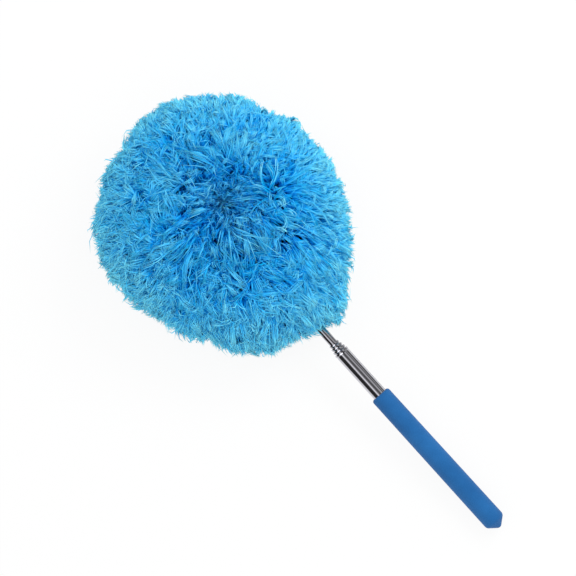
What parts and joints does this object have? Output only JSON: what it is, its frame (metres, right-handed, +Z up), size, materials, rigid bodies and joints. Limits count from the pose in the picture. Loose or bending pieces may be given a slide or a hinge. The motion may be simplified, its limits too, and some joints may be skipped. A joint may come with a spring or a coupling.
{
  "type": "ceiling fan duster",
  "caption": "Fluffy ring-shaped microfibre duster head on a telescopic steel pole with a tapered foam grip.",
  "frame": {"origin": "on the floor, under the middle of the lying duster's bounding box", "axes": "+Z up, +X along the floor from the grip to the head, in the upright plane that holds the pole's axis; the pole's axis and the head rise 6.07 degrees toward +X"},
  "size_m": [0.6807, 0.3305, 0.1404],
  "materials": {
    "grip_foam": "matte blue closed-cell foam rubber",
    "plug_nylon": "black moulded nylon, hidden in the pole",
    "pole_steel": "polished stainless steel with lengthwise streaks",
    "sleeve_bronze": "bare spring bronze, hidden in the pole",
    "socket_nylon": "blue moulded nylon, hidden in the pile",
    "pin_steel": "plain steel pin, hidden in the pile",
    "wire_steel": "drawn steel wire, hidden in its coat",
    "coat_plastic": "blue plastic coat, hidden in the pile",
    "cover_cloth": "knitted blue backing cloth, hidden under the pile",
    "elastic_rubber": "grey elastic, hidden in the pile",
    "pile_fibre": "fluffy bright blue microfibre strands with paler tips"
  },
  "bodies": {
    "handle": {"grip": "grip_foam", "end_plug": "plug_nylon", "tube_1": "pole_steel"},
    "sliding_sleeve": {"friction_sleeve_2": "sleeve_bronze"},
    "section_2": {"tube_2": "pole_steel"},
    "section_3": {"tube_3": "pole_steel", "friction_sleeve_3": "sleeve_bronze"},
    "section_4": {"tube_4": "pole_steel", "friction_sleeve_4": "sleeve_bronze"},
    "head": {"tube_5": "pole_steel", "friction_sleeve_5": "sleeve_bronze", "head_socket": "socket_nylon", "cross_pin": "pin_steel", "loop_wire": "wire_steel", "loop_coat": "coat_plastic", "backing_cloth": "cover_cloth", "cuff": "cover_cloth", "cuff_elastic": "elastic_rubber", "pile_1": "pile_fibre", "pile_2": "pile_fibre", "pile_3": "pile_fibre", "pile_4": "pile_fibre", "pile_5": "pile_fibre", "pile_6": "pile_fibre", "pile_7": "pile_fibre", "pile_8": "pile_fibre", "pile_9": "pile_fibre", "pile_10": "pile_fibre", "pile_11": "pile_fibre", "pile_12": "pile_fibre"}
  },
  "joints": [
    {"name": "slide_2", "type": "slide", "parent": "handle", "child": "sliding_sleeve", "axis": [0.9944, 0, 0.1057], "range_m": [0, 0.2386]},
    {"name": "swivel", "type": "hinge", "parent": "sliding_sleeve", "child": "section_2", "pos_m": [-0.31062, 0, 0.01602], "axis": [0.9944, 0, 0.1057], "continuous": true},
    {"name": "slide_3", "type": "slide", "parent": "section_2", "child": "section_3", "axis": [0.9944, 0, 0.1057], "range_m": [0, 0.2432]},
    {"name": "slide_4", "type": "slide", "parent": "section_3", "child": "section_4", "axis": [0.9944, 0, 0.1057], "range_m": [0, 0.2479]},
    {"name": "slide_5", "type": "slide", "parent": "section_4", "child": "head", "axis": [0.9944, 0, 0.1057], "range_m": [0, 0.2525]}
  ]
}
